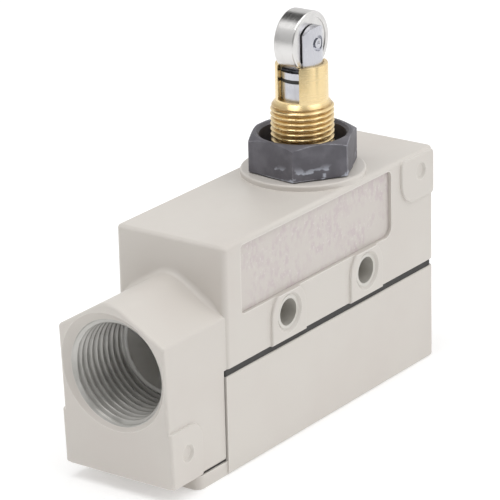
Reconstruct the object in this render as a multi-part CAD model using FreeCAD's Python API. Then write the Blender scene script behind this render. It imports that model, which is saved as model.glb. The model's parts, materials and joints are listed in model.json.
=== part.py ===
"""Enclosed limit switch with a panel-mount roller plunger, one STEP file per sub-part, in mm.

Frame: origin at the centre of the underside, +X from the conduit end to the far end,
+Z up along the plunger, and -Y out of the face that carries the nameplate.
"""
import FreeCAD
import Part
import math
import os

# ---- enclosure: zinc casting, upper body and conduit neck
LEFT_END_X = -43.7           # tip of the conduit end
END_X = 42.6                 # far end
BODY_LEFT_X = -25.4          # left end face of the upper body
BODY_HALF_Y = 12.0
NECK_HALF_Y = 11.6
SEAM_Z = 20.1                # rim of the casting, on top of the gasket
TOP_Z = 43.2
WALL = 2.2
CEILING_Z = 40.8
BODY_CORNER_R = 1.0
TOP_EDGE_R = 0.8
NECK_BOTTOM_Z = 2.9
NECK_SHOULDER_Z = 30.0
ROOF_SLOPE = math.radians(31.5)
APEX_R = 5.2
BLOCK_RIGHT_X = -25.9        # face of the conduit block against the cover
NECK_EDGE_R = 0.6
END_DRAFT = 1.6              # lean of the conduit end face over the neck's height
PAD_PROUD = 0.5
PAD_EDGE_R = 0.35
DIMPLE_R = 1.7
DIMPLE_DEPTH = 1.2
RIM_EDGE_R = 0.3

# ---- conduit entry, M20 x 1.5
CONDUIT_Z = 22.7
CONDUIT_R = 10.0
CONDUIT_MOUTH_R = 11.1
CONDUIT_FLOOR_X = -28.0
PASSAGE_R = 8.9
COLLAR_R = 9.9               # tube round the passage, reaching into the body
COLLAR_END_X = -19.0
COLLAR_NOTCH_R = 10.2
LINER_R = 8.3                # bore of the plastic liner in the passage
LINER_LIP_X = -27.9

# ---- two mounting holes on the standard 25.4 pitch
MOUNT_PITCH = 25.4
MOUNT_MID_X = 6.2
MOUNT_Z = 25.1
MOUNT_HOLE_R = 2.55
SLEEVE_R = 3.2
SLEEVE_RECESS = 0.4
MOUTH_CHAMFER = 0.6
MOUNT_PAD_HALF = 5.4
MOUNT_X = (MOUNT_MID_X - MOUNT_PITCH / 2, MOUNT_MID_X + MOUNT_PITCH / 2)

# ---- nameplate recess in the front face
LABEL_X = (-20.6, 27.9)
LABEL_Z = (29.2, 42.2)
LABEL_CORNERS_R = (0.8, 2.0, 1.2, 0.8)
LABEL_DEPTH = 0.7
LABEL_T = 0.2

# ---- bottom cover and gasket
COVER_RIM_Z = 18.9
COVER_LEFT_X = -25.6
COVER_FLOOR = 2.2
COVER_EDGE_R = 0.6
TONGUE_LEFT_X = -34.3
TONGUE_TOP_Z = 2.6
GASKET_INSET = 0.3

# ---- M4 cover screws: one in the tongue, two at the far end
SCREW_R = 2.0
SCREW_HEAD_R = 3.7
TONGUE_SCREW = (-30.0, 0.0)
END_SCREWS = ((36.6, -7.6), (36.6, 7.6))
SCREW_POST_R = 3.5
TONGUE_SCREW_TOP = 9.6
END_SCREW_TOP = 29.2

# ---- plunger column, all on one vertical axis
AXIS_X = 16.3
NUT_BOSS_R = 11.8
NUT_BOSS_TOP = 44.3
THREAD_R = 5.675             # pitch radius, where the threads engage
FREE_THREAD_R = 5.95         # crests above the nut
THREAD_TOP_Z = 56.3
SEAL_SEAT_R = 6.8
BARREL_R = 4.95
BARREL_BOTTOM_Z = 57.6
BARREL_TOP_Z = 64.6
SLOT_FLOOR_Z = 57.95
SLOT_HALF = 2.4
BUSH_BOTTOM_Z = 41.2
BUSH_FLOOR_Z = (44.9, 47.4)
BUSH_BORE_R = 4.03
ROD_R = 2.3
RUN = 0.05                   # radial running clearance
PLUNGER_R = BUSH_BORE_R - RUN
PLUNGER_BODY_Z = (57.0, 63.3)
WIPER_Z = (61.35, 62.05)
FORK_TOP_Z = 72.0
FORK_HALF_X = 3.06
ROLLER_Z = 68.7
ROLLER_R = 5.8
ROLLER_HALF = 2.25
AXLE_R = 1.5
ROD_BOTTOM_Z = 44.0
CLIP_Z = (44.35, 44.85)
PIN_CHAMBER_R = 1.6
PIN_CHAMBER_TOP = 60.0
PUSH_PIN_R = 1.0
PIN_HEAD_Z = (46.2, 47.0)
GUIDE_TOP_Z = 46.0

# ---- hexagon nut
NUT_FLATS = 18.6
NUT_Z = (44.55, 51.3)
NUT_RECESS_R = 8.2
NUT_RECESS_Z = 46.2
NUT_TURN = 24.3              # degrees from +X to a corner

# ---- snap-action switch inside
CASE_X = (-18.4, 30.8)
CASE_HALF_Y = 8.7
CASE_Z = (20.9, 39.0)
CASE_WALL = 1.8
CASE_END_WALL = 1.2
BASE_Z = (17.0, 20.9)
PIN_TIP_Z = 39.9
SWITCH_PIN_R = 1.5
BLADE_Z = (32.55, 32.95)
BLADE_PIVOT = (-16.0, 32.75)
BLADE_END_X = 28.0
CONTACT_X = 26.5
CONTACT_R = 1.6
CONTACT_H = 0.8
CONTACT_GAP = 0.85
STRIP_T = 0.8
TERMINAL_Z = (16.0, 17.0)
TERMINAL_X = (-12.6, 6.6, 25.0)
TERMINAL_HALF_X = 4.0
TERMINAL_HALF_Y = 4.0
COM_POST_X = (-16.4, -15.4)
NO_POST_X = (1.9, 2.7)
NC_POST_X = (28.7, 29.5)
GROUND_X = 34.8

V = FreeCAD.Vector
ALONG = {"x": V(1, 0, 0), "y": V(0, 1, 0), "z": V(0, 0, 1)}


def box(x0, x1, y0, y1, z0, z1):
    """Box between two limits on each axis."""
    return Part.makeBox(x1 - x0, y1 - y0, z1 - z0, V(x0, y0, z0))


def rod(axis, centre, radius, start, end):
    """Cylinder along an axis from start to end; centre is its place on the other two axes."""
    place = list(centre)
    place.insert("xyz".index(axis), start)
    return Part.makeCylinder(radius, end - start, V(*place), ALONG[axis])


def tube(axis, centre, outer, inner, start, end):
    """Hollow cylinder along an axis."""
    return rod(axis, centre, outer, start, end).cut(rod(axis, centre, inner, start, end))


def cone(x, y, radius_low, radius_high, z0, z1):
    """Upright cone frustum."""
    return Part.makeCone(radius_low, radius_high, z1 - z0, V(x, y, z0))


def prism(plane, corners, radii, start, length):
    """Extrude an outline drawn in plane xy, xz or yz, each corner rounded by its own radius."""
    missing = "xyz".index(next(a for a in "xyz" if a not in plane))

    def lift(point):
        place = [point.x, point.y]
        place.insert(missing, start)
        return V(*place)

    flat = [V(u, v, 0) for u, v in corners]
    entries, edges = [], []
    for i, corner in enumerate(flat):
        back = (flat[i - 1] - corner).normalize()
        ahead = (flat[(i + 1) % len(flat)] - corner).normalize()
        radius = radii[i]
        if not radius:
            entries.append((corner, None, corner))
            continue
        half = back.getAngle(ahead) / 2
        inward = (back + ahead).normalize()
        reach = radius / math.tan(half)
        middle = corner + inward * (radius / math.sin(half) - radius)
        entries.append((corner + back * reach, middle, corner + ahead * reach))
    for i, (first, middle, last) in enumerate(entries):
        if middle is not None:
            edges.append(Part.Arc(lift(first), lift(middle), lift(last)).toShape())
        following = entries[(i + 1) % len(entries)][0]
        edges.append(Part.LineSegment(lift(last), lift(following)).toShape())
    push = [0, 0, 0]
    push[missing] = length
    return Part.Face(Part.Wire(edges)).extrude(V(*push))


def turned(profile, x=AXIS_X):
    """Solid of revolution about the upright line at x; profile is a list of (radius, z)."""
    points = [V(x + r, 0, z) for r, z in profile]
    face = Part.Face(Part.makePolygon(points + points[:1]))
    return face.revolve(V(x, 0, 0), ALONG["z"], 360)


def o_ring(x, y, z, mean_radius, section_radius):
    """Rubber ring lying flat."""
    return Part.makeTorus(mean_radius, section_radius, V(x, y, z))


def coil(x, mean_radius, wire_radius, z0, z1, turns):
    """Compression spring of whole turns, with its wire ends inside the two limits."""
    pitch = (z1 - z0 - 2 * wire_radius) / turns
    one_turn = Part.makeHelix(pitch, pitch, mean_radius).Edges[0]
    path = Part.Wire([one_turn.translated(V(0, 0, i * pitch)) for i in range(turns)])
    section = Part.Wire(Part.makeCircle(wire_radius, V(mean_radius, 0, 0), V(0, 1, 0)))
    return path.makePipeShell([section], True, True).translated(V(x, 0, z0 + wire_radius))


def fuse(first, *others):
    """Join solids into one."""
    return first.multiFuse(list(others)).removeSplitter()


def cut(body, *tools):
    """Take several tools out of a body."""
    for tool in tools:
        body = body.cut(tool)
    return body


def both_faces(shape):
    """A shape and its mirror image across the centre plane."""
    return [shape, shape.mirror(V(0, 0, 0), ALONG["y"])]


def vertical_edges(shape, x_min=LEFT_END_X):
    """Upright straight edges at or beyond x_min."""
    chosen = []
    for edge in shape.Edges:
        low, high = edge.BoundBox.ZMin, edge.BoundBox.ZMax
        upright = edge.BoundBox.XLength + edge.BoundBox.YLength < 1e-6
        if upright and high > low and edge.BoundBox.XMin >= x_min:
            chosen.append(edge)
    return chosen


def edges_in_plane(shape, axis, place):
    """Edges lying in the plane square to an axis at a place along it."""
    chosen = []
    for edge in shape.Edges:
        limits = edge.BoundBox
        span = {"x": (limits.XMin, limits.XMax), "y": (limits.YMin, limits.YMax), "z": (limits.ZMin, limits.ZMax)}
        if all(abs(limit - place) < 1e-4 for limit in span[axis]):
            chosen.append(edge)
    return chosen


def edges_at_height(shape, z):
    """Edges lying in the horizontal plane at z."""
    return edges_in_plane(shape, "z", z)


# ---------------------------------------------------------------- enclosure

def mount_pad(x):
    """Arched pad around a mounting hole, on the front face."""
    front, half = -BODY_HALF_Y - PAD_PROUD, MOUNT_PAD_HALF
    arch = prism("xz", [(x - half, SEAM_Z), (x + half, SEAM_Z), (x + half, MOUNT_Z + half), (x - half, MOUNT_Z + half)],
                 [0, 0, half - 0.01, half - 0.01], front, PAD_PROUD + WALL / 2)
    arch = arch.makeFillet(PAD_EDGE_R, edges_in_plane(arch, "y", front))
    mouth = Part.makeCone(SLEEVE_R + MOUTH_CHAMFER, SLEEVE_R, MOUTH_CHAMFER, V(x, front, MOUNT_Z), ALONG["y"])
    return arch.cut(mouth)


def locating_pad(corners, radii, dimple, face_y):
    """Raised pad in a corner of the front face, with a shallow dimple."""
    front = -face_y - PAD_PROUD
    pad = prism("xz", corners, radii, front, PAD_PROUD + WALL / 2)
    pad = pad.makeFillet(PAD_EDGE_R, edges_in_plane(pad, "y", front))
    x, z = dimple
    return pad.cut(Part.makeCone(DIMPLE_R, DIMPLE_R / 4, DIMPLE_DEPTH, V(x, front, z), ALONG["y"]))


def conduit_neck():
    """Block that carries the conduit entry, with its pitched roof and leaning end face."""
    apex_z = NECK_SHOULDER_Z + NECK_HALF_Y * math.tan(ROOF_SLOPE)
    outline = [(-NECK_HALF_Y, NECK_BOTTOM_Z), (-NECK_HALF_Y, NECK_SHOULDER_Z), (0, apex_z),
               (NECK_HALF_Y, NECK_SHOULDER_Z), (NECK_HALF_Y, NECK_BOTTOM_Z)]
    neck = prism("yz", outline, [0.6, 0.8, APEX_R, 0.8, 0.6],
                 LEFT_END_X, WALL + BODY_LEFT_X - LEFT_END_X)
    below_seam = box(BLOCK_RIGHT_X, 0, -BODY_HALF_Y, BODY_HALF_Y, 0, SEAM_Z)
    neck = neck.cut(below_seam)
    lean = END_DRAFT / (apex_z - NECK_BOTTOM_Z)
    low, high, left = NECK_BOTTOM_Z + 0.1, 13.8, LEFT_END_X - 1
    pad = locating_pad([(left, low), (-33.1, low), (-33.1, high), (left, high)],
                       [0, 0.5, 3.5, 0], (-37.6, 8.7), NECK_HALF_Y)
    wedge = prism("xz", [(LEFT_END_X - 2, 0), (LEFT_END_X + lean * apex_z, 0), (LEFT_END_X, apex_z),
                         (LEFT_END_X - 2, apex_z)], [0, 0, 0, 0], -2 * BODY_HALF_Y, 4 * BODY_HALF_Y)
    neck = fuse(neck, *both_faces(pad)).cut(wedge)
    end_face = min(neck.Faces, key=lambda face: face.CenterOfMass.x)
    return neck.makeFillet(NECK_EDGE_R, end_face.Edges)


def passage_liner():
    """Pale plastic liner of the wire passage; its rounded end shows at the bottom of the conduit entry."""
    liner = tube("x", (0, CONDUIT_Z), PASSAGE_R, LINER_R, LINER_LIP_X, COLLAR_END_X)
    return liner.makeFillet(0.25, edges_in_plane(liner, "x", LINER_LIP_X))


def label_outline(inset, start, depth):
    """Rounded oblong of the nameplate recess, drawn in by inset."""
    left, right = LABEL_X[0] + inset, LABEL_X[1] - inset
    low, high = LABEL_Z[0] + inset, LABEL_Z[1] - inset
    return prism("xz", [(left, low), (right, low), (right, high), (left, high)],
                 [radius - inset for radius in LABEL_CORNERS_R], start, depth)


def housing():
    """Upper body with the conduit neck, pads, nut boss, screw posts and the switch chamber."""
    body = box(BODY_LEFT_X, END_X, -BODY_HALF_Y, BODY_HALF_Y, SEAM_Z, TOP_Z)
    body = body.makeFillet(BODY_CORNER_R, vertical_edges(body))
    body = body.makeFillet(TOP_EDGE_R, edges_at_height(body, TOP_Z))
    body = body.makeFillet(RIM_EDGE_R, edges_at_height(body, SEAM_Z))
    boss = rod("z", (AXIS_X, 0), NUT_BOSS_R, CEILING_Z, NUT_BOSS_TOP)
    boss = boss.makeFillet(TOP_EDGE_R / 2, edges_at_height(boss, NUT_BOSS_TOP))
    pad = locating_pad([(31.0, 33.8), (END_X - 0.5, 33.8), (END_X - 0.5, TOP_Z - 0.4), (31.0, TOP_Z - 0.4)],
                       [4.5, 1.0, 1.0, 1.0], (37.5, 39.4), BODY_HALF_Y)
    pads = both_faces(pad)
    for x in MOUNT_X:
        pads += both_faces(mount_pad(x))
    shell = fuse(body, boss, conduit_neck(), *pads)
    chamber = box(BODY_LEFT_X + WALL, END_X - WALL, -BODY_HALF_Y + WALL, BODY_HALF_Y - WALL, SEAM_Z, CEILING_Z)
    shell = shell.cut(chamber)

    posts = [rod("z", place, SCREW_POST_R - 0.1, SEAM_Z, CEILING_Z + 0.5) for place in END_SCREWS]
    posts.append(rod("z", (GROUND_X, 0), 2.9, 26.0, CEILING_Z + 0.5))
    posts.append(box(GROUND_X, END_X - WALL / 2, -1.2, 1.2, 30.0, CEILING_Z + 0.5))
    keep_inside = box(BODY_LEFT_X + 1, END_X - 1, -BODY_HALF_Y + 1, BODY_HALF_Y - 1, SEAM_Z, TOP_Z - 1)
    collar = rod("x", (0, CONDUIT_Z), COLLAR_R, BLOCK_RIGHT_X - 1, COLLAR_END_X)
    shell = fuse(shell, collar, *[post.common(keep_inside) for post in posts])

    recess = label_outline(0, -BODY_HALF_Y - 1, 1 + LABEL_DEPTH + LABEL_T)
    mouth_x = LEFT_END_X + END_DRAFT / 2
    mouth = Part.makeCone(CONDUIT_MOUTH_R + 1, CONDUIT_R, CONDUIT_MOUTH_R + 1 - CONDUIT_R,
                          V(mouth_x - 1, 0, CONDUIT_Z), ALONG["x"])
    holes = [recess, mouth,
             rod("x", (0, CONDUIT_Z), CONDUIT_R, LEFT_END_X - 1, CONDUIT_FLOOR_X),
             rod("x", (0, CONDUIT_Z), PASSAGE_R, CONDUIT_FLOOR_X, COLLAR_END_X),
             rod("z", (AXIS_X, 0), THREAD_R, CEILING_Z - 1, NUT_BOSS_TOP),
             rod("z", (AXIS_X, 0), SEAL_SEAT_R, NUT_BOSS_TOP - 1, NUT_BOSS_TOP),
             rod("z", TONGUE_SCREW, SCREW_R, NECK_BOTTOM_Z, TONGUE_SCREW_TOP + 0.6),
             rod("z", (GROUND_X, 0), 1.75, 26.0, 33.6)]
    holes += [rod("z", place, SCREW_R, SEAM_Z, END_SCREW_TOP + 0.8) for place in END_SCREWS]
    holes += [rod("y", (x, MOUNT_Z), SLEEVE_R, -2 * BODY_HALF_Y, 2 * BODY_HALF_Y) for x in MOUNT_X]
    return cut(shell, *holes)


def terminal_cover():
    """Tray that closes the wiring space, with a tongue that hooks under the conduit block."""
    outer = box(COVER_LEFT_X, END_X, -BODY_HALF_Y, BODY_HALF_Y, 0, COVER_RIM_Z)
    outer = outer.makeFillet(BODY_CORNER_R, vertical_edges(outer, x_min=0))
    outer = outer.makeFillet(RIM_EDGE_R, edges_at_height(outer, COVER_RIM_Z))
    outer = outer.makeFillet(COVER_EDGE_R, edges_at_height(outer, 0))
    tongue = box(TONGUE_LEFT_X, COVER_LEFT_X + 1, -BODY_HALF_Y + 0.3, BODY_HALF_Y - 0.3, 0, TONGUE_TOP_Z)
    tongue = tongue.makeFillet(1.5, [e for e in vertical_edges(tongue) if e.BoundBox.XMin < TONGUE_LEFT_X + 0.1])
    inner = box(COVER_LEFT_X + WALL, END_X - WALL, -BODY_HALF_Y + WALL, BODY_HALF_Y - WALL,
                COVER_FLOOR, COVER_RIM_Z)
    posts = [rod("z", place, SCREW_POST_R, COVER_FLOOR - 1, COVER_RIM_Z) for place in END_SCREWS]
    keep = box(0, END_X - 1, -BODY_HALF_Y + 1, BODY_HALF_Y - 1, 0, COVER_RIM_Z)
    tray = fuse(outer.cut(inner), tongue, *[post.common(keep) for post in posts])
    tools = [rod("x", (0, CONDUIT_Z), COLLAR_NOTCH_R, COVER_LEFT_X - 1, COVER_LEFT_X + WALL)]
    for x, y in (TONGUE_SCREW,) + END_SCREWS:
        tools.append(rod("z", (x, y), SCREW_R + 0.15, -1, COVER_RIM_Z + 1))
        tools.append(cone(x, y, SCREW_HEAD_R + 0.2, SCREW_R + 0.15, -0.02, 1.9))
    return cut(tray, *tools)


def cover_gasket():
    """Rubber seal: a frame round the rim, then down the block face and under it."""
    half_y = BODY_HALF_Y - GASKET_INSET
    far_x = END_X - GASKET_INSET
    frame = prism("xy", [(COVER_LEFT_X, -half_y), (far_x, -half_y), (far_x, half_y), (COVER_LEFT_X, half_y)],
                  [0, BODY_CORNER_R, BODY_CORNER_R, 0], COVER_RIM_Z, SEAM_Z - COVER_RIM_Z)
    opening = box(COVER_LEFT_X + WALL, END_X - WALL - 0.1, -BODY_HALF_Y + WALL + 0.1,
                  BODY_HALF_Y - WALL - 0.1, COVER_RIM_Z - 1, SEAM_Z + 1)
    lobes = [rod("z", place, SCREW_POST_R - 0.1, COVER_RIM_Z, SEAM_Z) for place in END_SCREWS]
    inside = box(0, far_x, -half_y, half_y, COVER_RIM_Z, SEAM_Z)
    frame = fuse(frame.cut(opening), *[lobe.common(inside) for lobe in lobes])
    face_y = NECK_HALF_Y - GASKET_INSET
    upright = box(BLOCK_RIGHT_X, COVER_LEFT_X, -face_y, face_y, TONGUE_TOP_Z, SEAM_Z)
    flat = box(TONGUE_LEFT_X + GASKET_INSET, COVER_LEFT_X, -face_y, face_y, TONGUE_TOP_Z, NECK_BOTTOM_Z)
    tools = [rod("x", (0, CONDUIT_Z), COLLAR_NOTCH_R, BLOCK_RIGHT_X - 1, COLLAR_END_X + 1)]
    for place in (TONGUE_SCREW,) + END_SCREWS:
        tools.append(rod("z", place, SCREW_R + 0.15, 0, SEAM_Z + 1))
    return cut(fuse(frame, upright, flat), *tools)


def cross_recess(x, y, z, depth, size=2.0):
    """Two crossed slots for a screwdriver, going up from z."""
    return [box(x - size, x + size, y - 0.35, y + 0.35, z, z + depth),
            box(x - 0.35, x + 0.35, y - size, y + size, z, z + depth)]


def cover_screws():
    """Three M4 countersunk screws, heads down."""
    screws = []
    for (x, y), top in [(TONGUE_SCREW, TONGUE_SCREW_TOP)] + [(place, END_SCREW_TOP) for place in END_SCREWS]:
        head = cone(x, y, SCREW_HEAD_R, SCREW_R, 0.15, 1.85)
        shank = rod("z", (x, y), SCREW_R, 1.85, top)
        screws.append(cut(fuse(head, shank), *cross_recess(x, y, 0.15, 1.1)))
    return Part.makeCompound(screws)


def mounting_sleeves():
    """Two steel tubes right through the body, round the mounting holes."""
    front, back = -BODY_HALF_Y - PAD_PROUD + SLEEVE_RECESS, BODY_HALF_Y + PAD_PROUD
    return Part.makeCompound([tube("y", (x, MOUNT_Z), SLEEVE_R, MOUNT_HOLE_R, front, back) for x in MOUNT_X])


def nameplate():
    """Blank rating label in the recess of the front face."""
    return label_outline(0.03, -BODY_HALF_Y + LABEL_DEPTH, LABEL_T)


# ---------------------------------------------------------------- plunger column

def plunger_bushing():
    """Threaded brass bushing: guide floor below, slotted barrel above."""
    low, high = BUSH_FLOOR_Z
    body = turned([(4.0, BUSH_BOTTOM_Z), (THREAD_R - 0.5, BUSH_BOTTOM_Z), (THREAD_R, BUSH_BOTTOM_Z + 0.5),
                   (THREAD_R, NUT_Z[1]), (FREE_THREAD_R, NUT_Z[1]), (FREE_THREAD_R, THREAD_TOP_Z),
                   (BARREL_R, BARREL_BOTTOM_Z), (BARREL_R, BARREL_TOP_Z - 0.3),
                   (BARREL_R - 0.3, BARREL_TOP_Z), (BUSH_BORE_R, BARREL_TOP_Z), (BUSH_BORE_R, high),
                   (ROD_R + RUN, high), (ROD_R + RUN, 46.7), (3.35, 46.7), (3.35, 45.6),
                   (ROD_R + RUN, 45.6), (ROD_R + RUN, low), (4.0, low)])
    slot = box(AXIS_X - 2 * THREAD_R, AXIS_X + 2 * THREAD_R, -SLOT_HALF, SLOT_HALF, SLOT_FLOOR_Z, BARREL_TOP_Z + 1)
    return body.cut(slot)


def plunger():
    """Steel plunger: hollow rod, guided body with a wiper groove, and a fork for the roller."""
    low, high = PLUNGER_BODY_Z
    body = turned([(PIN_CHAMBER_R, ROD_BOTTOM_Z), (ROD_R, ROD_BOTTOM_Z), (ROD_R, CLIP_Z[0]), (1.9, CLIP_Z[0]),
                   (1.9, CLIP_Z[1]), (ROD_R, CLIP_Z[1]), (ROD_R, low), (PLUNGER_R, low),
                   (PLUNGER_R, WIPER_Z[0]), (3.2, WIPER_Z[0]), (3.2, WIPER_Z[1]), (PLUNGER_R, WIPER_Z[1]),
                   (PLUNGER_R, high), (0, high), (0, PIN_CHAMBER_TOP), (PIN_CHAMBER_R, PIN_CHAMBER_TOP)])
    ears = rod("z", (AXIS_X, 0), PLUNGER_R, high - 0.1, FORK_TOP_Z)
    crown_r = 3.9
    crown = rod("y", (AXIS_X, FORK_TOP_Z - crown_r), crown_r, -PLUNGER_R, PLUNGER_R)
    blank = box(AXIS_X - FORK_HALF_X, AXIS_X + FORK_HALF_X, -PLUNGER_R, PLUNGER_R, high, FORK_TOP_Z - crown_r)
    ears = ears.common(fuse(crown, blank))
    ears = ears.common(box(AXIS_X - FORK_HALF_X, AXIS_X + FORK_HALF_X, -PLUNGER_R, PLUNGER_R, high, FORK_TOP_Z))
    gap = box(AXIS_X - BODY_HALF_Y, AXIS_X + BODY_HALF_Y, -ROLLER_HALF - 0.1, ROLLER_HALF + 0.1, high, FORK_TOP_Z + 1)
    axle_hole = rod("y", (AXIS_X, ROLLER_Z), AXLE_R, -PLUNGER_R, PLUNGER_R)
    pocket = rod("y", (AXIS_X, ROLLER_Z), ROLLER_R + 0.25, -ROLLER_HALF - 0.1, ROLLER_HALF + 0.1)
    return cut(body, axle_hole, pocket).fuse(cut(ears, gap, axle_hole)).removeSplitter()


def roller():
    """Hardened roller with a slightly sunk face on each side."""
    wheel = rod("y", (AXIS_X, ROLLER_Z), ROLLER_R, -ROLLER_HALF, ROLLER_HALF)
    wheel = wheel.makeFillet(0.35, [e for e in wheel.Edges if e.Curve.TypeId == "Part::GeomCircle"])
    dish = tube("y", (AXIS_X, ROLLER_Z), 4.7, 2.4, -ROLLER_HALF, -ROLLER_HALF + 0.15)
    bore = rod("y", (AXIS_X, ROLLER_Z), AXLE_R + RUN, -ROLLER_HALF, ROLLER_HALF)
    return cut(wheel, bore, *both_faces(dish))


def roller_axle():
    """Pin through both ears, its ends dressed flush with the plunger's round."""
    pin = rod("y", (AXIS_X, ROLLER_Z), AXLE_R, -PLUNGER_R, PLUNGER_R)
    round_end = rod("z", (AXIS_X, 0), PLUNGER_R - 0.03, ROLLER_Z - 2 * AXLE_R, ROLLER_Z + 2 * AXLE_R)
    pin = pin.common(round_end)
    centre_mark = Part.makeCone(0.5, 0.1, 0.6, V(AXIS_X, -PLUNGER_R, ROLLER_Z), ALONG["y"])
    groove = tube("y", (AXIS_X, ROLLER_Z), AXLE_R, 0.95, -PLUNGER_R, -PLUNGER_R + 0.7)
    return cut(pin, *both_faces(centre_mark), *both_faces(groove))


def wiper_ring():
    """Rubber wiper in the plunger's groove."""
    return tube("z", (AXIS_X, 0), PLUNGER_R - 0.08, 3.2, WIPER_Z[0] + 0.05, WIPER_Z[1] - 0.05)


def lock_nut():
    """Hexagon nut with a deep recess in its upper face."""
    low, high = NUT_Z
    corner = NUT_FLATS / math.sqrt(3)
    points = []
    for i in range(6):
        turn = math.radians(NUT_TURN + 60 * i)
        points.append((AXIS_X + corner * math.cos(turn), corner * math.sin(turn)))
    blank = prism("xy", points, [0] * 6, low, high - low)
    flat, outside = NUT_FLATS / 2 - 0.1, corner + 0.5
    drop = (outside - flat) * math.tan(math.radians(30))
    envelope = turned([(0, low), (outside, low), (outside, high - drop), (flat, high), (0, high)])
    bore = rod("z", (AXIS_X, 0), THREAD_R, low - 1, high + 1)
    recess = rod("z", (AXIS_X, 0), NUT_RECESS_R, NUT_RECESS_Z, high + 1)
    mouth = cone(AXIS_X, 0, NUT_RECESS_R, NUT_RECESS_R + 0.5, high - 0.5, high)
    return cut(blank.common(envelope), bore, recess, mouth)


def nut_washer():
    """Thin seal washer under the nut."""
    return tube("z", (AXIS_X, 0), 9.3, FREE_THREAD_R + 0.1, NUT_BOSS_TOP, NUT_Z[0])


def bushing_o_ring():
    """Seal round the bushing in the top of the boss."""
    return o_ring(AXIS_X, 0, NUT_BOSS_TOP - 0.5, THREAD_R + 0.53, 0.48)


def rod_o_ring():
    """Seal round the plunger rod in the bushing's floor."""
    return o_ring(AXIS_X, 0, 46.15, ROD_R + 0.53, 0.49)


def retaining_clip():
    """E-clip that stops the plunger from leaving the bushing."""
    low, high = CLIP_Z
    disc = tube("z", (AXIS_X, 0), 3.5, 1.9, low + 0.02, high - 0.02)
    return disc.cut(box(AXIS_X, AXIS_X + 5, -1.3, 1.3, low - 1, high + 1))


def return_spring():
    """Spring round the rod, between the bushing's floor and the plunger."""
    return coil(AXIS_X, 3.15, 0.3, BUSH_FLOOR_Z[1], PLUNGER_BODY_Z[0], 6)


def overtravel_spring():
    """Spring inside the rod, above the push pin's head."""
    return coil(AXIS_X, 1.22, 0.2, PIN_HEAD_Z[1], PIN_CHAMBER_TOP, 13)


def pin_guide_bush():
    """Bush pressed into the rod's lower end; it guides the push pin and holds it in."""
    return tube("z", (AXIS_X, 0), PIN_CHAMBER_R, PUSH_PIN_R + RUN, ROD_BOTTOM_Z, GUIDE_TOP_Z)


def push_pin():
    """Pin that carries the plunger's stroke to the switch pin through the overtravel spring."""
    stem = rod("z", (AXIS_X, 0), PUSH_PIN_R, PIN_TIP_Z, PIN_HEAD_Z[0])
    return fuse(stem, rod("z", (AXIS_X, 0), PIN_CHAMBER_R - RUN, *PIN_HEAD_Z))


# ---------------------------------------------------------------- snap-action switch

def switch_case():
    """Moulded case with a tube through it round each mounting sleeve."""
    left, right = CASE_X
    low, high = CASE_Z
    outer = box(left, right, -CASE_HALF_Y, CASE_HALF_Y, low, high)
    inner = box(left + CASE_WALL, right - CASE_END_WALL, -CASE_HALF_Y + CASE_WALL, CASE_HALF_Y - CASE_WALL,
                low, high - 1.6)
    eyes = [rod("y", (x, MOUNT_Z), SLEEVE_R + 0.8, -CASE_HALF_Y, CASE_HALF_Y) for x in MOUNT_X]
    shell = fuse(outer.cut(inner), *[eye.common(outer) for eye in eyes])
    holes = [rod("y", (x, MOUNT_Z), SLEEVE_R + RUN, -CASE_HALF_Y, CASE_HALF_Y) for x in MOUNT_X]
    return cut(shell, rod("z", (AXIS_X, 0), SWITCH_PIN_R + RUN, low, high + 1), *holes)


def terminal_slots():
    """Slots through the base for the three contact strips."""
    return [box(x0, x1, -3.0, 3.0, BASE_Z[0], BASE_Z[1]) for x0, x1 in (COM_POST_X, NO_POST_X, NC_POST_X)]


def switch_base():
    """Moulded base that carries the terminals."""
    base = box(CASE_X[0], CASE_X[1], -CASE_HALF_Y, CASE_HALF_Y, *BASE_Z)
    pockets = [rod("z", (x, 0), 2.1, BASE_Z[0], BASE_Z[1] - 0.5) for x in TERMINAL_X]
    return cut(base, *terminal_slots(), *pockets)


def terminal_pad(x):
    """Flat tag under the base with its M4 thread."""
    pad = box(x - TERMINAL_HALF_X, x + TERMINAL_HALF_X, -TERMINAL_HALF_Y, TERMINAL_HALF_Y, *TERMINAL_Z)
    return pad.cut(rod("z", (x, 0), SCREW_R, *TERMINAL_Z))


def contact_post(post_x, top):
    """Upright strip of a terminal, from the tag to its top."""
    return box(post_x[0], post_x[1], -3.0, 3.0, TERMINAL_Z[0], top)


def fixed_contact_heights():
    """Undersides and tops of the upper and lower fixed contact rivets."""
    upper = BLADE_Z[1] + CONTACT_H + 0.02
    lower = BLADE_Z[0] - CONTACT_H - CONTACT_GAP
    return (upper, upper + CONTACT_H), (lower - CONTACT_H, lower)


def common_terminal():
    """Common terminal: tag and the post under the blade's root."""
    post = contact_post(COM_POST_X, BLADE_Z[0] - 0.1)
    return fuse(terminal_pad(TERMINAL_X[0]), post)


def normally_open_terminal():
    """Normally open terminal: rises between the mounting eyes and runs under the blade."""
    top = fixed_contact_heights()[1][0]
    arm = box(NO_POST_X[0], BLADE_END_X, -3.0, 3.0, top - 0.6, top)
    return fuse(terminal_pad(TERMINAL_X[1]), contact_post(NO_POST_X, top), arm)


def normally_closed_terminal():
    """Normally closed terminal: rises at the far end and reaches back over the blade."""
    bottom = fixed_contact_heights()[0][1]
    arm = box(CONTACT_X - 2.0, NC_POST_X[1], -3.0, 3.0, bottom, bottom + STRIP_T)
    return fuse(terminal_pad(TERMINAL_X[2]), contact_post(NC_POST_X, bottom + STRIP_T), arm)


def fixed_contacts():
    """Silver rivets on the two fixed strips."""
    return Part.makeCompound([rod("z", (CONTACT_X, 0), CONTACT_R, *span) for span in fixed_contact_heights()])


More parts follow.
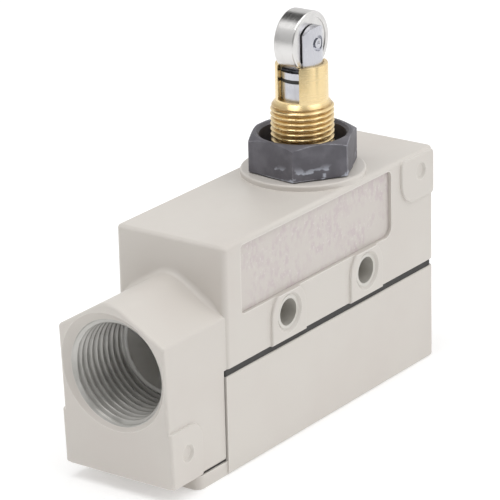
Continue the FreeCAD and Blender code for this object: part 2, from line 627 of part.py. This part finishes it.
def contact_blade():
    """Leaf that carries the moving contact; it swings about its root on the common post."""
    leaf = box(BLADE_PIVOT[0], BLADE_END_X, -2.6, 2.6, *BLADE_Z)
    window = box(-11.5, 11.5, -1.3, 1.3, BLADE_Z[0] - 1, BLADE_Z[1] + 1)
    return cut(leaf, window, rod("z", (CONTACT_X, 0), 0.8, BLADE_Z[0], BLADE_Z[1]))


def moving_contact():
    """Double-headed silver rivet at the blade's tip."""
    low, high = BLADE_Z
    return fuse(rod("z", (CONTACT_X, 0), CONTACT_R, low - CONTACT_H, low),
                rod("z", (CONTACT_X, 0), 0.8, low, high),
                rod("z", (CONTACT_X, 0), CONTACT_R, high, high + CONTACT_H))


def snap_spring():
    """Bowed leaf under the blade's window that makes the contacts snap over."""
    first, last, sag, thick = -11.4, 0.6, 1.9, 0.3
    middle = (first + last) / 2
    top = BLADE_Z[0]

    def bow(drop):
        return Part.Arc(V(first, -1.1, top - drop), V(middle, -1.1, top - drop - sag), V(last, -1.1, top - drop))

    sides = [Part.LineSegment(V(x, -1.1, top), V(x, -1.1, top - thick)).toShape() for x in (first, last)]
    edges = [bow(0).toShape(), sides[1], bow(thick).toShape(), sides[0]]
    return Part.Face(Part.Wire(Part.__sortEdges__(edges))).extrude(V(0, 2.2, 0))


def switch_pin():
    """Plastic pin that passes the push pin's stroke to the blade."""
    return fuse(rod("z", (AXIS_X, 0), SWITCH_PIN_R, BLADE_Z[1] + 0.05, PIN_TIP_Z),
                rod("z", (AXIS_X, 0), 2.6, 33.9, 34.6))


def terminal_clamps():
    """Square cup washers under the terminal screws."""
    clamps = []
    for x in TERMINAL_X:
        plate = box(x - 3.6, x + 3.6, -3.6, 3.6, TERMINAL_Z[0] - 0.8, TERMINAL_Z[0])
        lips = [box(x + side - 0.4, x + side + 0.4, -3.6, 3.6, TERMINAL_Z[0] - 1.3, TERMINAL_Z[0] - 0.7)
                for side in (-3.2, 3.2)]
        clamps.append(fuse(plate, *lips).cut(rod("z", (x, 0), SCREW_R + 0.1, 0, TERMINAL_Z[0])))
    return Part.makeCompound(clamps)


def terminal_screws():
    """Three M4 pan-head screws, heads down."""
    screws = []
    head_top = TERMINAL_Z[0] - 0.8
    for x in TERMINAL_X:
        head = rod("z", (x, 0), 2.7, head_top - 2.4, head_top)
        head = head.makeFillet(0.8, edges_at_height(head, head_top - 2.4))
        shank = rod("z", (x, 0), SCREW_R, head_top, BASE_Z[1] - 1.0)
        screws.append(cut(fuse(head, shank), *cross_recess(x, 0, head_top - 2.4, 1.3, 1.7)))
    return Part.makeCompound(screws)


def insulating_sheets():
    """Two insulating sheets between the switch and the metal walls."""
    sheet = box(CASE_X[0], CASE_X[1], -9.6, -CASE_HALF_Y - 0.1, 17.6, 39.0)
    sheet = cut(sheet, *[rod("y", (x, MOUNT_Z), SLEEVE_R + RUN, -BODY_HALF_Y, 0) for x in MOUNT_X])
    return Part.makeCompound(both_faces(sheet))


def ground_screw():
    """Earthing screw on its post in the upper body, head down."""
    head = rod("z", (GROUND_X, 0), 3.0, 22.9, 25.3)
    head = head.makeFillet(0.8, edges_at_height(head, 22.9))
    screw = fuse(head, rod("z", (GROUND_X, 0), 1.75, 25.3, 33.0))
    return cut(screw, *cross_recess(GROUND_X, 0, 22.9, 1.3, 1.7))


def ground_washer():
    """Cup washer under the earthing screw."""
    return tube("z", (GROUND_X, 0), 3.3, 1.85, 25.3, 26.0)


NODES = (housing, terminal_cover, cover_gasket, cover_screws, mounting_sleeves, nameplate,
         passage_liner, plunger_bushing, lock_nut, nut_washer, bushing_o_ring, rod_o_ring,
         plunger, wiper_ring, roller, roller_axle, retaining_clip, pin_guide_bush, push_pin,
         return_spring, overtravel_spring,
         switch_case, switch_base, switch_pin, contact_blade, snap_spring, moving_contact,
         common_terminal, normally_open_terminal, normally_closed_terminal, fixed_contacts,
         terminal_clamps, terminal_screws, insulating_sheets, ground_screw, ground_washer)

os.makedirs("parts", exist_ok=True)
for node in NODES:
    node().exportStep("parts/" + node.__name__ + ".step")
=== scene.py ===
"""Looks for the enclosed limit switch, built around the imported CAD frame, in metres."""
import bpy
import json
import math
from mathutils import Matrix, Vector


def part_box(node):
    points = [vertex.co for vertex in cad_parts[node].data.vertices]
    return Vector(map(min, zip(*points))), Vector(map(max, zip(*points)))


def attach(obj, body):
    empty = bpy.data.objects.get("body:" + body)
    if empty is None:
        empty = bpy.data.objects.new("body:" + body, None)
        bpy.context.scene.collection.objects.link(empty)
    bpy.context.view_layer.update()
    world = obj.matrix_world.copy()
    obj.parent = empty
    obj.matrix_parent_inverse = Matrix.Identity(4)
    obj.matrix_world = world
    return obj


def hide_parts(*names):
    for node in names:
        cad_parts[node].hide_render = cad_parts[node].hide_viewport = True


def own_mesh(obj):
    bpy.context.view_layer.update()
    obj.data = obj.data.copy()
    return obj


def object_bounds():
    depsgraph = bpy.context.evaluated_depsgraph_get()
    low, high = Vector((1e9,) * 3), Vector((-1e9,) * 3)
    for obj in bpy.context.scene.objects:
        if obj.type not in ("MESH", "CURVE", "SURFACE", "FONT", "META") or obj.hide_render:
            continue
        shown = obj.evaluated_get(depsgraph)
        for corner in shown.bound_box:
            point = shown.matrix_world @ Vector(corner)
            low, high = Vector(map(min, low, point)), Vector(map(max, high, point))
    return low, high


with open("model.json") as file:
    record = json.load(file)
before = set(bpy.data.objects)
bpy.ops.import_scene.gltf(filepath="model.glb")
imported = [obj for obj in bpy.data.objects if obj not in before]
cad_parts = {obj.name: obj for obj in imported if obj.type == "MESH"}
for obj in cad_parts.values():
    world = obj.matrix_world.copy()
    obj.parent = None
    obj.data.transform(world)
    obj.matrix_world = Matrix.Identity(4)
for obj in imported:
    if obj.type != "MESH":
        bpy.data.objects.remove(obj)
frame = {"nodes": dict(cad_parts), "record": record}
CAD_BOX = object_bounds()

MM = 0.001
TAU = 2 * math.pi

# ---- camera, at the photograph's angle
CAM_AZIMUTH, CAM_ELEVATION, CAM_ROLL = -54.0, 20.26, -1.32
CAM_DISTANCE = 583 * MM
CAM_TARGET = Vector((-1.19, 0, 33.0)) * MM
CAM_LENS, SENSOR = 228.5, 36.0


# ---- plunger column: its axis from the CAD frame, its thread, and the scuffed height of the nut
BUSH_LOW, BUSH_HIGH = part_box("plunger_bushing")
COLUMN_X = (BUSH_LOW[0] + BUSH_HIGH[0]) / 2
THREAD_LOW, THREAD_HIGH, THREAD_CREST = 46.3 * MM, 57.6 * MM, 5.95 * MM
SCUFFS_END_Z, SCUFFS_FULL_Z = 47.6 * MM, 45.6 * MM

# ---- conduit entry
CONDUIT_AXIS_Z = 22.7 * MM

ROWS_PER_PITCH = 14            # mesh rows in one turn of a thread's profile


# ---- studio: base brightness, then (direction, start, full, gain) of each lighter or darker zone
SKY = 0.835
STUDIO = (((0.5, -0.8, 0.4), 0.2, 0.9, 0.32),
          ((-0.9, -0.35, 0.1), 0.3, 0.9, -0.50),
          ((0.25, 0.55, 0.80), 0.90, 0.965, -0.78),
          ((0.225, -0.974, 0.15), 0.985, 0.996, -1.1))


# ---------------------------------------------------------------- materials

class Shader:
    """A procedural material: a Principled surface and the nodes that feed it."""

    def __init__(self, name, color, roughness, metallic=0.0):
        self.material = bpy.data.materials.new(name)
        self.material.use_nodes = True
        self.tree = self.material.node_tree
        self.surface = self.tree.nodes["Principled BSDF"]
        self.surface.inputs["Base Color"].default_value = (*color, 1)
        self.surface.inputs["Roughness"].default_value = roughness
        self.surface.inputs["Metallic"].default_value = metallic
        self.place = self.add("ShaderNodeTexCoord").outputs["Object"]

    def add(self, kind, **settings):
        """New node; each setting is a property of the node or the value of an input."""
        node = self.tree.nodes.new(kind)
        for key, value in settings.items():
            if hasattr(node, key):
                setattr(node, key, value)
            else:
                node.inputs[key.replace("_", " ").title()].default_value = value
        return node

    def link(self, source, target):
        self.tree.links.new(source, target)

    def stretched(self, scale):
        """Object position multiplied per axis."""
        mapping = self.add("ShaderNodeMapping")
        mapping.inputs["Scale"].default_value = scale
        self.link(self.place, mapping.inputs["Vector"])
        return mapping.outputs["Vector"]

    def noise(self, scale, detail=3.0, stretch=(1, 1, 1)):
        """Noise between 0 and 1; scale is in features per metre."""
        node = self.add("ShaderNodeTexNoise", scale=scale, detail=detail)
        self.link(self.stretched(stretch), node.inputs["Vector"])
        return node.outputs["Fac"]

    def ramp(self, value, low, high):
        """0 below low and 1 above high."""
        node = self.add("ShaderNodeMapRange", interpolation_type="SMOOTHSTEP")
        node.inputs["From Min"].default_value = low
        node.inputs["From Max"].default_value = high
        self.link(value, node.inputs["Value"])
        return node.outputs["Result"]

    def edges(self, radius, low, high):
        """1 on convex edges: where the bevelled normal leaves the true one."""
        bevel = self.add("ShaderNodeBevel", samples=6)
        bevel.inputs["Radius"].default_value = radius
        true = self.add("ShaderNodeNewGeometry").outputs["Normal"]
        dot = self.add("ShaderNodeVectorMath", operation="DOT_PRODUCT")
        self.link(bevel.outputs["Normal"], dot.inputs[0])
        self.link(true, dot.inputs[1])
        return self.ramp(dot.outputs["Value"], high, low)

    def along(self, axis):
        """Object position along one axis, in metres."""
        split = self.add("ShaderNodeSeparateXYZ")
        self.link(self.place, split.inputs["Vector"])
        return split.outputs[axis]

    def radius_from_column(self, centre_x):
        """Distance from the upright axis through centre_x."""
        mapping = self.add("ShaderNodeMapping")
        mapping.inputs["Location"].default_value = (-centre_x, 0, 0)
        mapping.inputs["Scale"].default_value = (1, 1, 0)
        self.link(self.place, mapping.inputs["Vector"])
        length = self.add("ShaderNodeVectorMath", operation="LENGTH")
        self.link(mapping.outputs["Vector"], length.inputs[0])
        return length.outputs["Value"]

    def multiply(self, a, b):
        node = self.add("ShaderNodeMath", operation="MULTIPLY")
        self.link(a, node.inputs[0])
        self.link(b, node.inputs[1])
        return node.outputs["Value"]

    def tint(self, mask, color):
        """Blend the base colour towards another where mask is 1."""
        socket = self.surface.inputs["Base Color"]
        mix = self.add("ShaderNodeMix", data_type="RGBA")
        if socket.links:
            self.link(socket.links[0].from_socket, mix.inputs["A"])
        else:
            mix.inputs["A"].default_value = socket.default_value
        mix.inputs["B"].default_value = (*color, 1)
        self.link(mask, mix.inputs["Factor"])
        self.link(mix.outputs["Result"], socket)

    def roughen(self, mask, low, high):
        """Roughness from low to high by mask."""
        node = self.add("ShaderNodeMapRange")
        node.inputs["To Min"].default_value = low
        node.inputs["To Max"].default_value = high
        self.link(mask, node.inputs["Value"])
        self.link(node.outputs["Result"], self.surface.inputs["Roughness"])

    def turned_about_z(self, strength):
        """Stretch the highlights along z, as the tool marks of turning do."""
        tangent = self.add("ShaderNodeTangent", direction_type="RADIAL", axis="Z")
        self.link(tangent.outputs["Tangent"], self.surface.inputs["Tangent"])
        self.surface.inputs["Anisotropic"].default_value = strength
        self.surface.inputs["Anisotropic Rotation"].default_value = 0.25

    def bump(self, height, strength, distance):
        """Raise the surface by height; several bumps stack."""
        socket = self.surface.inputs["Normal"]
        node = self.add("ShaderNodeBump")
        node.inputs["Strength"].default_value = strength
        node.inputs["Distance"].default_value = distance
        if socket.links:
            self.link(socket.links[0].from_socket, node.inputs["Normal"])
        self.link(height, node.inputs["Height"])
        self.link(node.outputs["Normal"], socket)


def painted_casting(name="painted_casting", edge_highlight=True):
    """Warm beige enamel, satin, with fine orange peel and faint unevenness, and on request a painted
    highlight on the convex edges.
    """
    s = Shader(name, (0.605, 0.572, 0.530), 0.40)
    s.tint(s.ramp(s.noise(60, 2), 0.35, 0.75), (0.590, 0.550, 0.510))
    # painted highlight: the convex edges are tinted lighter
    if edge_highlight:
        s.tint(s.edges(0.45 * MM, 0.86, 0.99), (0.74, 0.71, 0.67))
    s.roughen(s.noise(450, 4), 0.34, 0.50)
    s.bump(s.noise(1500, 3), 0.12, 0.12 * MM)
    return s.material


def machined_casting():
    """Bare grey metal of a thread cut in the casting."""
    s = Shader("machined_casting", (0.52, 0.51, 0.485), 0.40, 0.5)
    s.tint(s.ramp(s.noise(300, 3), 0.4, 0.8), (0.40, 0.392, 0.37))
    s.roughen(s.noise(900, 3, (4, 0.3, 0.3)), 0.30, 0.46)
    return s.material


def label_film():
    """Matte beige label with a faint pinkish mottle and no print."""
    s = Shader("label_film", (0.585, 0.545, 0.51), 0.6)
    middle = s.ramp(s.noise(110, 2, (1, 1, 1.8)), 0.34, 0.60)
    s.tint(s.multiply(middle, s.ramp(s.noise(1100, 5, (1, 1, 0.6)), 0.40, 0.64)), (0.545, 0.475, 0.475))
    s.tint(s.multiply(middle, s.ramp(s.noise(1500, 4), 0.56, 0.70)), (0.65, 0.605, 0.585))
    s.bump(s.noise(2500, 2), 0.1, 0.05 * MM)
    return s.material


def rubber():
    """Matte black rubber with a fine grain."""
    s = Shader("black_rubber", (0.028, 0.027, 0.026), 0.7)
    s.tint(s.noise(700, 4), (0.055, 0.053, 0.051))
    s.bump(s.noise(4000, 3), 0.2, 0.05 * MM)
    return s.material


def metal(name, color, roughness, shade, lines=(1, 1, 1), line_scale=900, depth=0.03):
    """Bare metal with a soft stain and fine tool lines along the thin direction of lines."""
    s = Shader(name, color, roughness, 1.0)
    s.tint(s.ramp(s.noise(260, 3), 0.45, 0.8), shade)
    s.roughen(s.noise(line_scale, 3, lines), roughness * 0.75, roughness * 1.3)
    s.bump(s.noise(line_scale * 3, 2, lines), 0.25, depth * MM)
    return s.material


def brass():
    """Turned brass: fine rings round the axis draw its highlights out along it; painted shade darkens the
    thread grooves.
    """
    s = Shader("brass", (0.86, 0.68, 0.38), 0.26, 1.0)
    s.tint(s.ramp(s.noise(300, 3), 0.45, 0.8), (0.76, 0.56, 0.28))
    height = s.along("Z")
    above, below = s.ramp(height, THREAD_LOW - MM, THREAD_LOW), s.ramp(height, THREAD_HIGH, THREAD_HIGH - MM)
    # painted shade: below the crest, between the thread's ends, the thread roots are tinted dark brown
    groove_shade = s.ramp(s.radius_from_column(COLUMN_X), THREAD_CREST - 0.1 * MM, THREAD_CREST - 0.5 * MM)
    s.tint(s.multiply(s.multiply(above, below), groove_shade), (0.52, 0.36, 0.17))
    s.roughen(s.noise(900, 3, (0.15, 0.15, 2.5)), 0.20, 0.34)
    s.bump(s.noise(2700, 2, (0.15, 0.15, 2.5)), 0.25, 0.03 * MM)
    s.turned_about_z(0.8)
    return s.material


def stainless():
    return metal("stainless_steel", (0.57, 0.575, 0.61), 0.28, (0.47, 0.475, 0.52), (2, 2, 0.2))


def ground_steel():
    return metal("roller_steel", (0.70, 0.69, 0.68), 0.24, (0.60, 0.59, 0.58), (0.2, 3, 0.2))


def zinc_steel():
    """Dull zinc plate."""
    s = Shader("zinc_steel", (0.62, 0.60, 0.56), 0.5, 0.4)
    s.tint(s.ramp(s.noise(260, 3), 0.45, 0.8), (0.52, 0.50, 0.45))
    s.roughen(s.noise(900, 3), 0.4, 0.6)
    return s.material


def spring_steel():
    return metal("spring_steel", (0.42, 0.42, 0.43), 0.3, (0.34, 0.34, 0.34))


def copper_alloy():
    return metal("copper_alloy", (0.74, 0.46, 0.28), 0.28, (0.62, 0.36, 0.2), (0.3, 3, 1))


def silver():
    return metal("silver", (0.86, 0.85, 0.83), 0.2, (0.76, 0.74, 0.70))


def black_steel():
    """Black oxide with rubbed, lighter edges and a few scuffs."""
    s = Shader("black_steel", (0.098, 0.094, 0.108), 0.5, 0.25)
    s.tint(s.ramp(s.noise(330, 4), 0.4, 0.75), (0.135, 0.13, 0.148))
    rub = s.multiply(s.edges(0.5 * MM, 0.78, 0.985), s.ramp(s.noise(260, 5), 0.45, 0.60))
    s.tint(rub, (0.42, 0.42, 0.46))
    lower_part = s.ramp(s.along("Z"), SCUFFS_END_Z, SCUFFS_FULL_Z)
    s.tint(s.multiply(lower_part, s.ramp(s.noise(330, 4, (1, 1, 1.6)), 0.57, 0.64)), (0.42, 0.44, 0.50))
    s.roughen(s.noise(900, 4), 0.40, 0.62)
    s.bump(s.noise(2200, 4), 0.25, 0.1 * MM)
    return s.material


def moulded(name, color, shade, roughness=0.5):
    """Moulded plastic with a slight mottle."""
    s = Shader(name, color, roughness)
    s.tint(s.noise(300, 4), shade)
    s.bump(s.noise(3000, 2), 0.15, 0.05 * MM)
    return s.material


MATERIALS = {
    "painted_casting": painted_casting(),
    "black_rubber": rubber(),
    "zinc_steel": zinc_steel(),
    "pale_plastic": moulded("pale_plastic", (0.93, 0.92, 0.89), (0.90, 0.885, 0.85), 0.45),
    "label_film": label_film(),
    "brass": brass(),
    "black_steel": black_steel(),
    "stainless_steel": stainless(),
    "spring_steel": spring_steel(),
    "black_phenolic": moulded("black_phenolic", (0.025, 0.025, 0.027), (0.045, 0.043, 0.042)),
    "brown_phenolic": moulded("brown_phenolic", (0.12, 0.062, 0.036), (0.16, 0.085, 0.05)),
    "red_plastic": moulded("red_plastic", (0.45, 0.05, 0.04), (0.38, 0.04, 0.035), 0.4),
    "copper_alloy": copper_alloy(),
    "silver": silver(),
    "fibre_sheet": moulded("fibre_sheet", (0.2, 0.17, 0.13), (0.16, 0.13, 0.1), 0.7),
}
ROLLER_STEEL = ground_steel()
# the fillet's casting, without the painted edge highlight
PLAIN_CASTING = painted_casting("casting_fillet", False)
CUT_THREAD = machined_casting()


def dress_cad_nodes():
    """Give every CAD node the material of its slot in the record, except the roller, which gets its own
    ground steel.
    """
    for part in frame["record"]["subparts"]:
        obj = frame["nodes"][part["node"]]
        material = ROLLER_STEEL if part["node"] == "roller" else MATERIALS[part["material_slot"]]
        obj.data.materials.clear()
        obj.data.materials.append(material)


# ---------------------------------------------------------------- mesh work

def add_piece(name, vertices, faces, material, body, smooth_angle=35):
    """Mesh object that rides on a body, with the material it is given."""
    mesh = bpy.data.meshes.new(name)
    mesh.from_pydata(vertices, [], faces)
    mesh.validate()
    obj = bpy.data.objects.new(name, mesh)
    bpy.context.scene.collection.objects.link(obj)
    mesh.materials.append(material)
    for polygon in mesh.polygons:
        polygon.use_smooth = True
    mesh.set_sharp_from_angle(angle=math.radians(smooth_angle))
    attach(obj, body)
    return obj


def loop_of_revolution(profile, columns):
    """Closed ring of a closed profile; profile(turn) lists (radius, height) for a share of a turn."""
    vertices, faces = [], []
    for c in range(columns):
        turn = c / columns
        for radius, height in profile(turn):
            vertices.append((radius * math.cos(TAU * turn), radius * math.sin(TAU * turn), height))
    rows = len(vertices) // columns
    for c in range(columns):
        here, there = c * rows, ((c + 1) % columns) * rows
        for r in range(rows):
            s = (r + 1) % rows
            faces.append((here + r, there + r, there + s, here + s))
    return vertices, faces


def thread_depth(turn, height, pitch, crest=0.16, root=0.12):
    """Depth below the crest, 0 to 1, of a right-hand 60 degree thread."""
    phase = (height / pitch - turn) % 1.0
    rise = (1 - crest - root) / 2
    if phase < rise:
        return 1 - phase / rise
    if phase < rise + crest:
        return 0.0
    if phase < 2 * rise + crest:
        return (phase - rise - crest) / rise
    return 1.0


def apply_modifiers(obj):
    """Bake the modifiers into the mesh."""
    graph = bpy.context.evaluated_depsgraph_get()
    mesh = bpy.data.meshes.new_from_object(obj.evaluated_get(graph))
    obj.modifiers.clear()
    obj.data = mesh


def cut_box(obj, low, high):
    """Cut a box out of a piece."""
    corners = [(x, y, z) for x in (low[0], high[0]) for y in (low[1], high[1]) for z in (low[2], high[2])]
    faces = [(0, 1, 3, 2), (4, 6, 7, 5), (0, 4, 5, 1), (2, 3, 7, 6), (0, 2, 6, 4), (1, 5, 7, 3)]
    mesh = bpy.data.meshes.new("cutter")
    mesh.from_pydata(corners, [], faces)
    cutter = bpy.data.objects.new("cutter", mesh)
    bpy.context.scene.collection.objects.link(cutter)
    boolean = obj.modifiers.new("cut", "BOOLEAN")
    boolean.object, boolean.operation, boolean.solver = cutter, "DIFFERENCE", "EXACT"
    apply_modifiers(obj)
    bpy.data.objects.remove(cutter)


def plunger_bushing():
    """Turned brass bushing with a real M12 x 1 thread and the slot for the roller."""
    crest, pitch, tooth = THREAD_CREST, 1.0 * MM, 0.56 * MM
    barrel, bore, guide, chamber = 4.95 * MM, 4.03 * MM, 2.35 * MM, 4.0 * MM
    core = 5.6 * MM
    thread_low, chamfer_low, chamfer_high = THREAD_LOW, 56.3 * MM, THREAD_HIGH
    floor_low, floor_high, slot_floor, slot_half = 44.9 * MM, 47.4 * MM, 57.95 * MM, 2.4 * MM
    low, high = BUSH_LOW[2], BUSH_HIGH[2]
    rows = round((chamfer_high - thread_low) / pitch * ROWS_PER_PITCH)
    heights = [thread_low + (chamfer_high - thread_low) * i / rows for i in range(rows + 1)]

    def outer(turn, z):
        envelope = crest - (crest - barrel) * max(0.0, (z - chamfer_low) / (chamfer_high - chamfer_low))
        return max(barrel, min(envelope, crest - tooth * thread_depth(turn, z, pitch)))

    def profile(turn):
        lower = [(chamber, low), (core, low), (core, thread_low - 0.05 * MM)]
        upper = [(barrel, high - 0.35 * MM), (barrel - 0.1 * MM, high - 0.1 * MM), (barrel - 0.35 * MM, high),
                 (bore + 0.2 * MM, high), (bore, high - 0.2 * MM), (bore, floor_high),
                 (guide, floor_high), (guide, floor_low), (chamber, floor_low)]
        return lower + [(outer(turn, z), z) for z in heights] + upper

    vertices, faces = loop_of_revolution(profile, 144)
    vertices = [(x + COLUMN_X, y, z) for x, y, z in vertices]
    faces = [face[::-1] for face in faces]
    piece = add_piece("brass_bushing", vertices, faces, MATERIALS["brass"], "enclosure")
    reach = 2 * crest
    cut_box(piece, (COLUMN_X - reach, -slot_half, slot_floor), (COLUMN_X + reach, slot_half, high + crest))
    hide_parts("plunger_bushing")


def conduit_thread():
    """Thread ridges of the conduit entry, M20 x 1.5, lining the casting's bore."""
    wall, tooth, pitch = 10.0 * MM, 0.85 * MM, 1.5 * MM
    mouth, end = -41.85 * MM, -28.02 * MM
    rows = round((end - mouth) / pitch * ROWS_PER_PITCH)
    places = [mouth + (end - mouth) * i / rows for i in range(rows + 1)]
    embed, proud, run_in = 0.05 * MM, 0.02 * MM, 0.5 * MM

    def inner(turn, x):
        strength = min(1.0, (x - mouth) / run_in)
        ridge = 1 - thread_depth(turn, x, pitch, 0.12, 0.18)
        return wall - tooth * strength * ridge - proud * (1 - strength)

    def profile(turn):
        return [(wall + embed, end), (wall + embed, mouth)] + [(inner(turn, x), x) for x in places]

    vertices, faces = loop_of_revolution(profile, 160)
    vertices = [(z, x, y + CONDUIT_AXIS_Z) for x, y, z in vertices]
    faces = [face[::-1] for face in faces]
    add_piece("conduit_thread", vertices, faces, CUT_THREAD, "enclosure", 60)


def liner_lip():
    """Rolled lip at the outer end of the pale liner of the wire passage."""
    middle_x, ring_r, roll_r, sides = -28.15 * MM, 8.55 * MM, 0.5 * MM, 16
    around = [TAU * k / sides for k in range(sides)]
    section = [(ring_r + roll_r * math.cos(a), middle_x + roll_r * math.sin(a)) for a in around]
    vertices, faces = loop_of_revolution(lambda turn: section, 96)
    vertices = [(z, x, y + CONDUIT_AXIS_Z) for x, y, z in vertices]
    add_piece("liner_lip", vertices, faces, MATERIALS["pale_plastic"], "enclosure", 80)


def neck_fillet():
    """Cast fillet where the neck's pitched roof runs into the end of the body."""
    face_x, radius, embed = -25.4 * MM, 1.1 * MM, 0.3 * MM
    half, shoulder, slope, apex_r = 11.6 * MM, 30.0 * MM, math.radians(31.5), 5.2 * MM
    tip_y, fade, thinnest = 10.9 * MM, 3.0 * MM, 0.1
    steps, arc = 9, 8
    peak = shoulder + half * math.tan(slope)
    centre_z = peak - apex_r / math.cos(slope)
    path = []
    for inward in (0.0, 0.7 * MM, 1.5 * MM, 2.5 * MM, 3.5 * MM):
        y = inward - tip_y
        path.append((y, shoulder + (y + half) * math.tan(slope), -slope))
    straight = list(path)
    for i in range(-steps, steps + 1):
        lean = slope * i / steps
        path.append((apex_r * math.sin(lean), centre_z + apex_r * math.cos(lean), lean))
    path += [(-y, z, slope) for y, z, lean in reversed(straight)]
    vertices, faces = [], []
    for y, z, lean in path:
        out_y, out_z = math.sin(lean), math.cos(lean)
        size = radius * min(1.0, thinnest + (tip_y - abs(y)) / fade)
        section = [(face_x + embed, -embed), (face_x - size, -embed)]
        for k in range(arc + 1):
            turn = TAU / 4 * k / arc
            section.append((face_x - size + size * math.sin(turn), size * (1 - math.cos(turn))))
        section.append((face_x + embed, size))
        vertices += [(x, y + rise * out_y, z + rise * out_z) for x, rise in section]
    rows = len(vertices) // len(path)
    for i in range(len(path) - 1):
        for r in range(rows):
            n = (r + 1) % rows
            faces.append((i * rows + r, i * rows + n, (i + 1) * rows + n, (i + 1) * rows + r))
    faces.append(tuple(range(rows))[::-1])
    faces.append(tuple(range((len(path) - 1) * rows, len(path) * rows)))
    add_piece("neck_fillet", vertices, faces, PLAIN_CASTING, "enclosure", 40)


def coil_spring(name, node, wire, turns, anchor_high):
    """Spring with closed end turns, filling its CAD node's box; it rides on the plunger when its upper end is
    anchored there, else on the enclosure.
    """
    low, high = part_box(node)
    middle_x = (low[0] + high[0]) / 2
    mean = (high[0] - low[0]) / 2 - wire
    bottom, top = low[2] + wire, high[2] - wire
    dead = 1.0
    steps, sides = 40, 10
    count = round((turns + 2 * dead) * steps)
    pitch_dead = 2 * wire
    free = top - bottom - 2 * dead * pitch_dead
    vertices, faces = [], []
    for i in range(count + 1):
        turn = i / steps
        live = min(max(turn - dead, 0.0), turns)
        z = bottom + pitch_dead * (turn - live) + free * live / turns
        angle = TAU * turn
        outward = Vector((math.cos(angle), math.sin(angle), 0))
        centre = Vector((middle_x, 0, z)) + outward * mean
        for k in range(sides):
            around = TAU * k / sides
            vertices.append(tuple(centre + outward * wire * math.cos(around)
                                  + Vector((0, 0, 1)) * wire * math.sin(around)))
        if i:
            here, back = i * sides, (i - 1) * sides
            for k in range(sides):
                n = (k + 1) % sides
                faces.append((back + k, back + n, here + n, here + k))
    faces.append(tuple(range(sides))[::-1])
    faces.append(tuple(range(count * sides, (count + 1) * sides)))
    body = "plunger" if anchor_high else "enclosure"
    spring = add_piece(name, vertices, faces, MATERIALS["spring_steel"], body, 80)
    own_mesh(spring)
    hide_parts(node)


dress_cad_nodes()
plunger_bushing()
conduit_thread()
liner_lip()
neck_fillet()
coil_spring("return_coil", "return_spring", 0.3 * MM, 6, False)
coil_spring("overtravel_coil", "overtravel_spring", 0.2 * MM, 13, True)


# ---------------------------------------------------------------- camera, floor and light

def aimed(location, target, roll=0.0):
    """Matrix of something at location that looks at target."""
    back = (location - target).normalized()
    right = Vector((0, 0, 1)).cross(back).normalized()
    up = back.cross(right)
    turned_right = right * math.cos(roll) + up * math.sin(roll)
    turned_up = up * math.cos(roll) - right * math.sin(roll)
    matrix = Matrix((turned_right, turned_up, back)).transposed().to_4x4()
    matrix.translation = location
    return matrix


def add_camera():
    azimuth, elevation = math.radians(CAM_AZIMUTH), math.radians(CAM_ELEVATION)
    back = Vector((math.sin(azimuth) * math.cos(elevation), -math.cos(azimuth) * math.cos(elevation),
                   math.sin(elevation)))
    data = bpy.data.cameras.new("camera")
    data.lens, data.sensor_width = CAM_LENS, SENSOR
    data.clip_start, data.clip_end = 0.01, 20
    camera = bpy.data.objects.new("camera", data)
    bpy.context.scene.collection.objects.link(camera)
    camera.matrix_world = aimed(CAM_TARGET + back * CAM_DISTANCE, CAM_TARGET, math.radians(CAM_ROLL))
    bpy.context.scene.camera = camera


def add_floor():
    """Plain pale floor."""
    s = Shader("floor_paper", (0.80, 0.80, 0.80), 0.9)
    s.tint(s.noise(8, 2), (0.78, 0.78, 0.78))
    s.surface.inputs["Emission Color"].default_value = (1, 1, 1, 1)
    s.surface.inputs["Emission Strength"].default_value = 0.30
    half, gap = 3.0, 0.05 * MM
    corners = [(-half, -half, 0), (half, -half, 0), (half, half, 0), (-half, half, 0)]
    mesh = bpy.data.meshes.new("floor")
    mesh.from_pydata(corners, [], [(0, 1, 2, 3)])
    floor = bpy.data.objects.new("floor", mesh)
    floor.location.z = CAD_BOX[0][2] - gap
    mesh.materials.append(s.material)
    bpy.context.scene.collection.objects.link(floor)


def add_light(name, direction, distance, size, power):
    """Soft square light that shines on the object."""
    data = bpy.data.lights.new(name, "AREA")
    data.shape, data.size, data.energy = "SQUARE", size, power
    light = bpy.data.objects.new(name, data)
    bpy.context.scene.collection.objects.link(light)
    target = Vector((0, 0, 30 * MM))
    light.matrix_world = aimed(target + Vector(direction).normalized() * distance, target)


def add_world():
    """White studio: brighter to the right, dimmer to the left, with dark gaps between the screens."""
    world = bpy.data.worlds.new("studio")
    world.use_nodes = True
    tree = world.node_tree
    direction = tree.nodes.new("ShaderNodeTexCoord").outputs["Generated"]
    strength = None
    for towards, low, high, gain in STUDIO:
        dot = tree.nodes.new("ShaderNodeVectorMath")
        dot.operation = "DOT_PRODUCT"
        dot.inputs[1].default_value = Vector(towards).normalized()
        tree.links.new(direction, dot.inputs[0])
        lobe = tree.nodes.new("ShaderNodeMapRange")
        lobe.interpolation_type = "SMOOTHSTEP"
        lobe.inputs["From Min"].default_value, lobe.inputs["From Max"].default_value = low, high
        lobe.inputs["To Max"].default_value = gain
        tree.links.new(dot.outputs["Value"], lobe.inputs["Value"])
        if strength is None:
            lobe.inputs["To Min"].default_value, lobe.inputs["To Max"].default_value = SKY, SKY + gain
            strength = lobe.outputs["Result"]
        else:
            total = tree.nodes.new("ShaderNodeMath")
            tree.links.new(strength, total.inputs[0])
            tree.links.new(lobe.outputs["Result"], total.inputs[1])
            strength = total.outputs["Value"]
    tree.links.new(strength, tree.nodes["Background"].inputs["Strength"])
    tree.nodes["Background"].inputs["Color"].default_value = (1, 1, 1, 1)
    bpy.context.scene.world = world


bpy.context.scene.view_settings.view_transform = "Standard"
add_camera()
add_floor()
add_world()
add_light("key", (0.30, -0.75, 1.2), 1.6, 1.0, 3.2)
add_light("top", (-0.45, 0.15, 1.2), 0.5, 0.3, 0.85)
